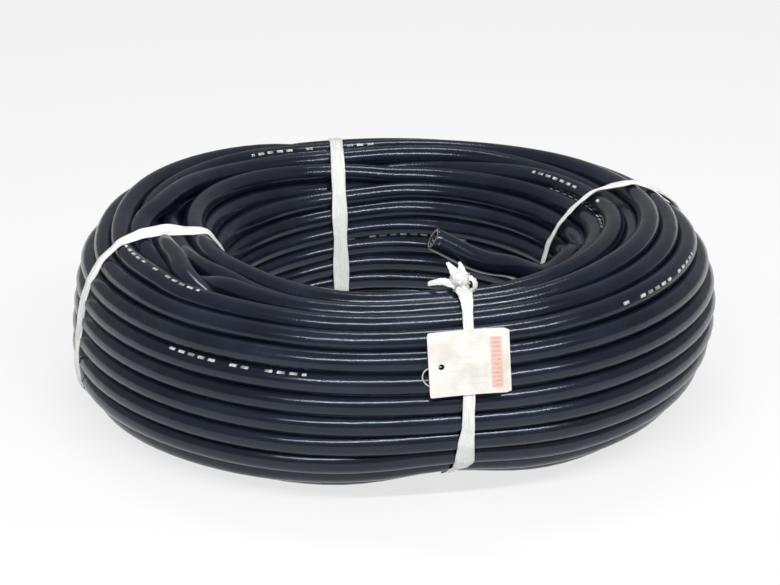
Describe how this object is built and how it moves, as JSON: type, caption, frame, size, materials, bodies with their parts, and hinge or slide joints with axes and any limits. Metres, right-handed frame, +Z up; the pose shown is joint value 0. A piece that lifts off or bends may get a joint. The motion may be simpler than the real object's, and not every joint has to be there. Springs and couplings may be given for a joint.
{
  "type": "coil of air hose",
  "caption": "Ring-shaped coil of black rubber air hose lying flat, bound with ribbon ties, with a card tag and one open hose end over the eye.",
  "frame": {"origin": "on the floor, below the middle of the coil's eye", "axes": "+Z up along the coil's axis, -Y towards the side with the knot and the tag"},
  "size_m": [0.6517, 0.6556, 0.2199],
  "materials": {
    "hose_rubber": "satin black rubber with a faint wrapped-cloth texture and pale layline marks",
    "ribbon": "white plastic ribbon, folded lengthwise, slightly glossy",
    "card": "white coated card with a coral band and faint ruled lines",
    "string": "thin twisted string, off-white with a green tint"
  },
  "bodies": {
    "root": {"hose_coil": "hose_rubber", "tie_front": "ribbon", "tie_left": "ribbon", "tie_back": "ribbon", "tie_right": "ribbon", "tag_card": "card", "tag_string": "string"}
  },
  "joints": []
}
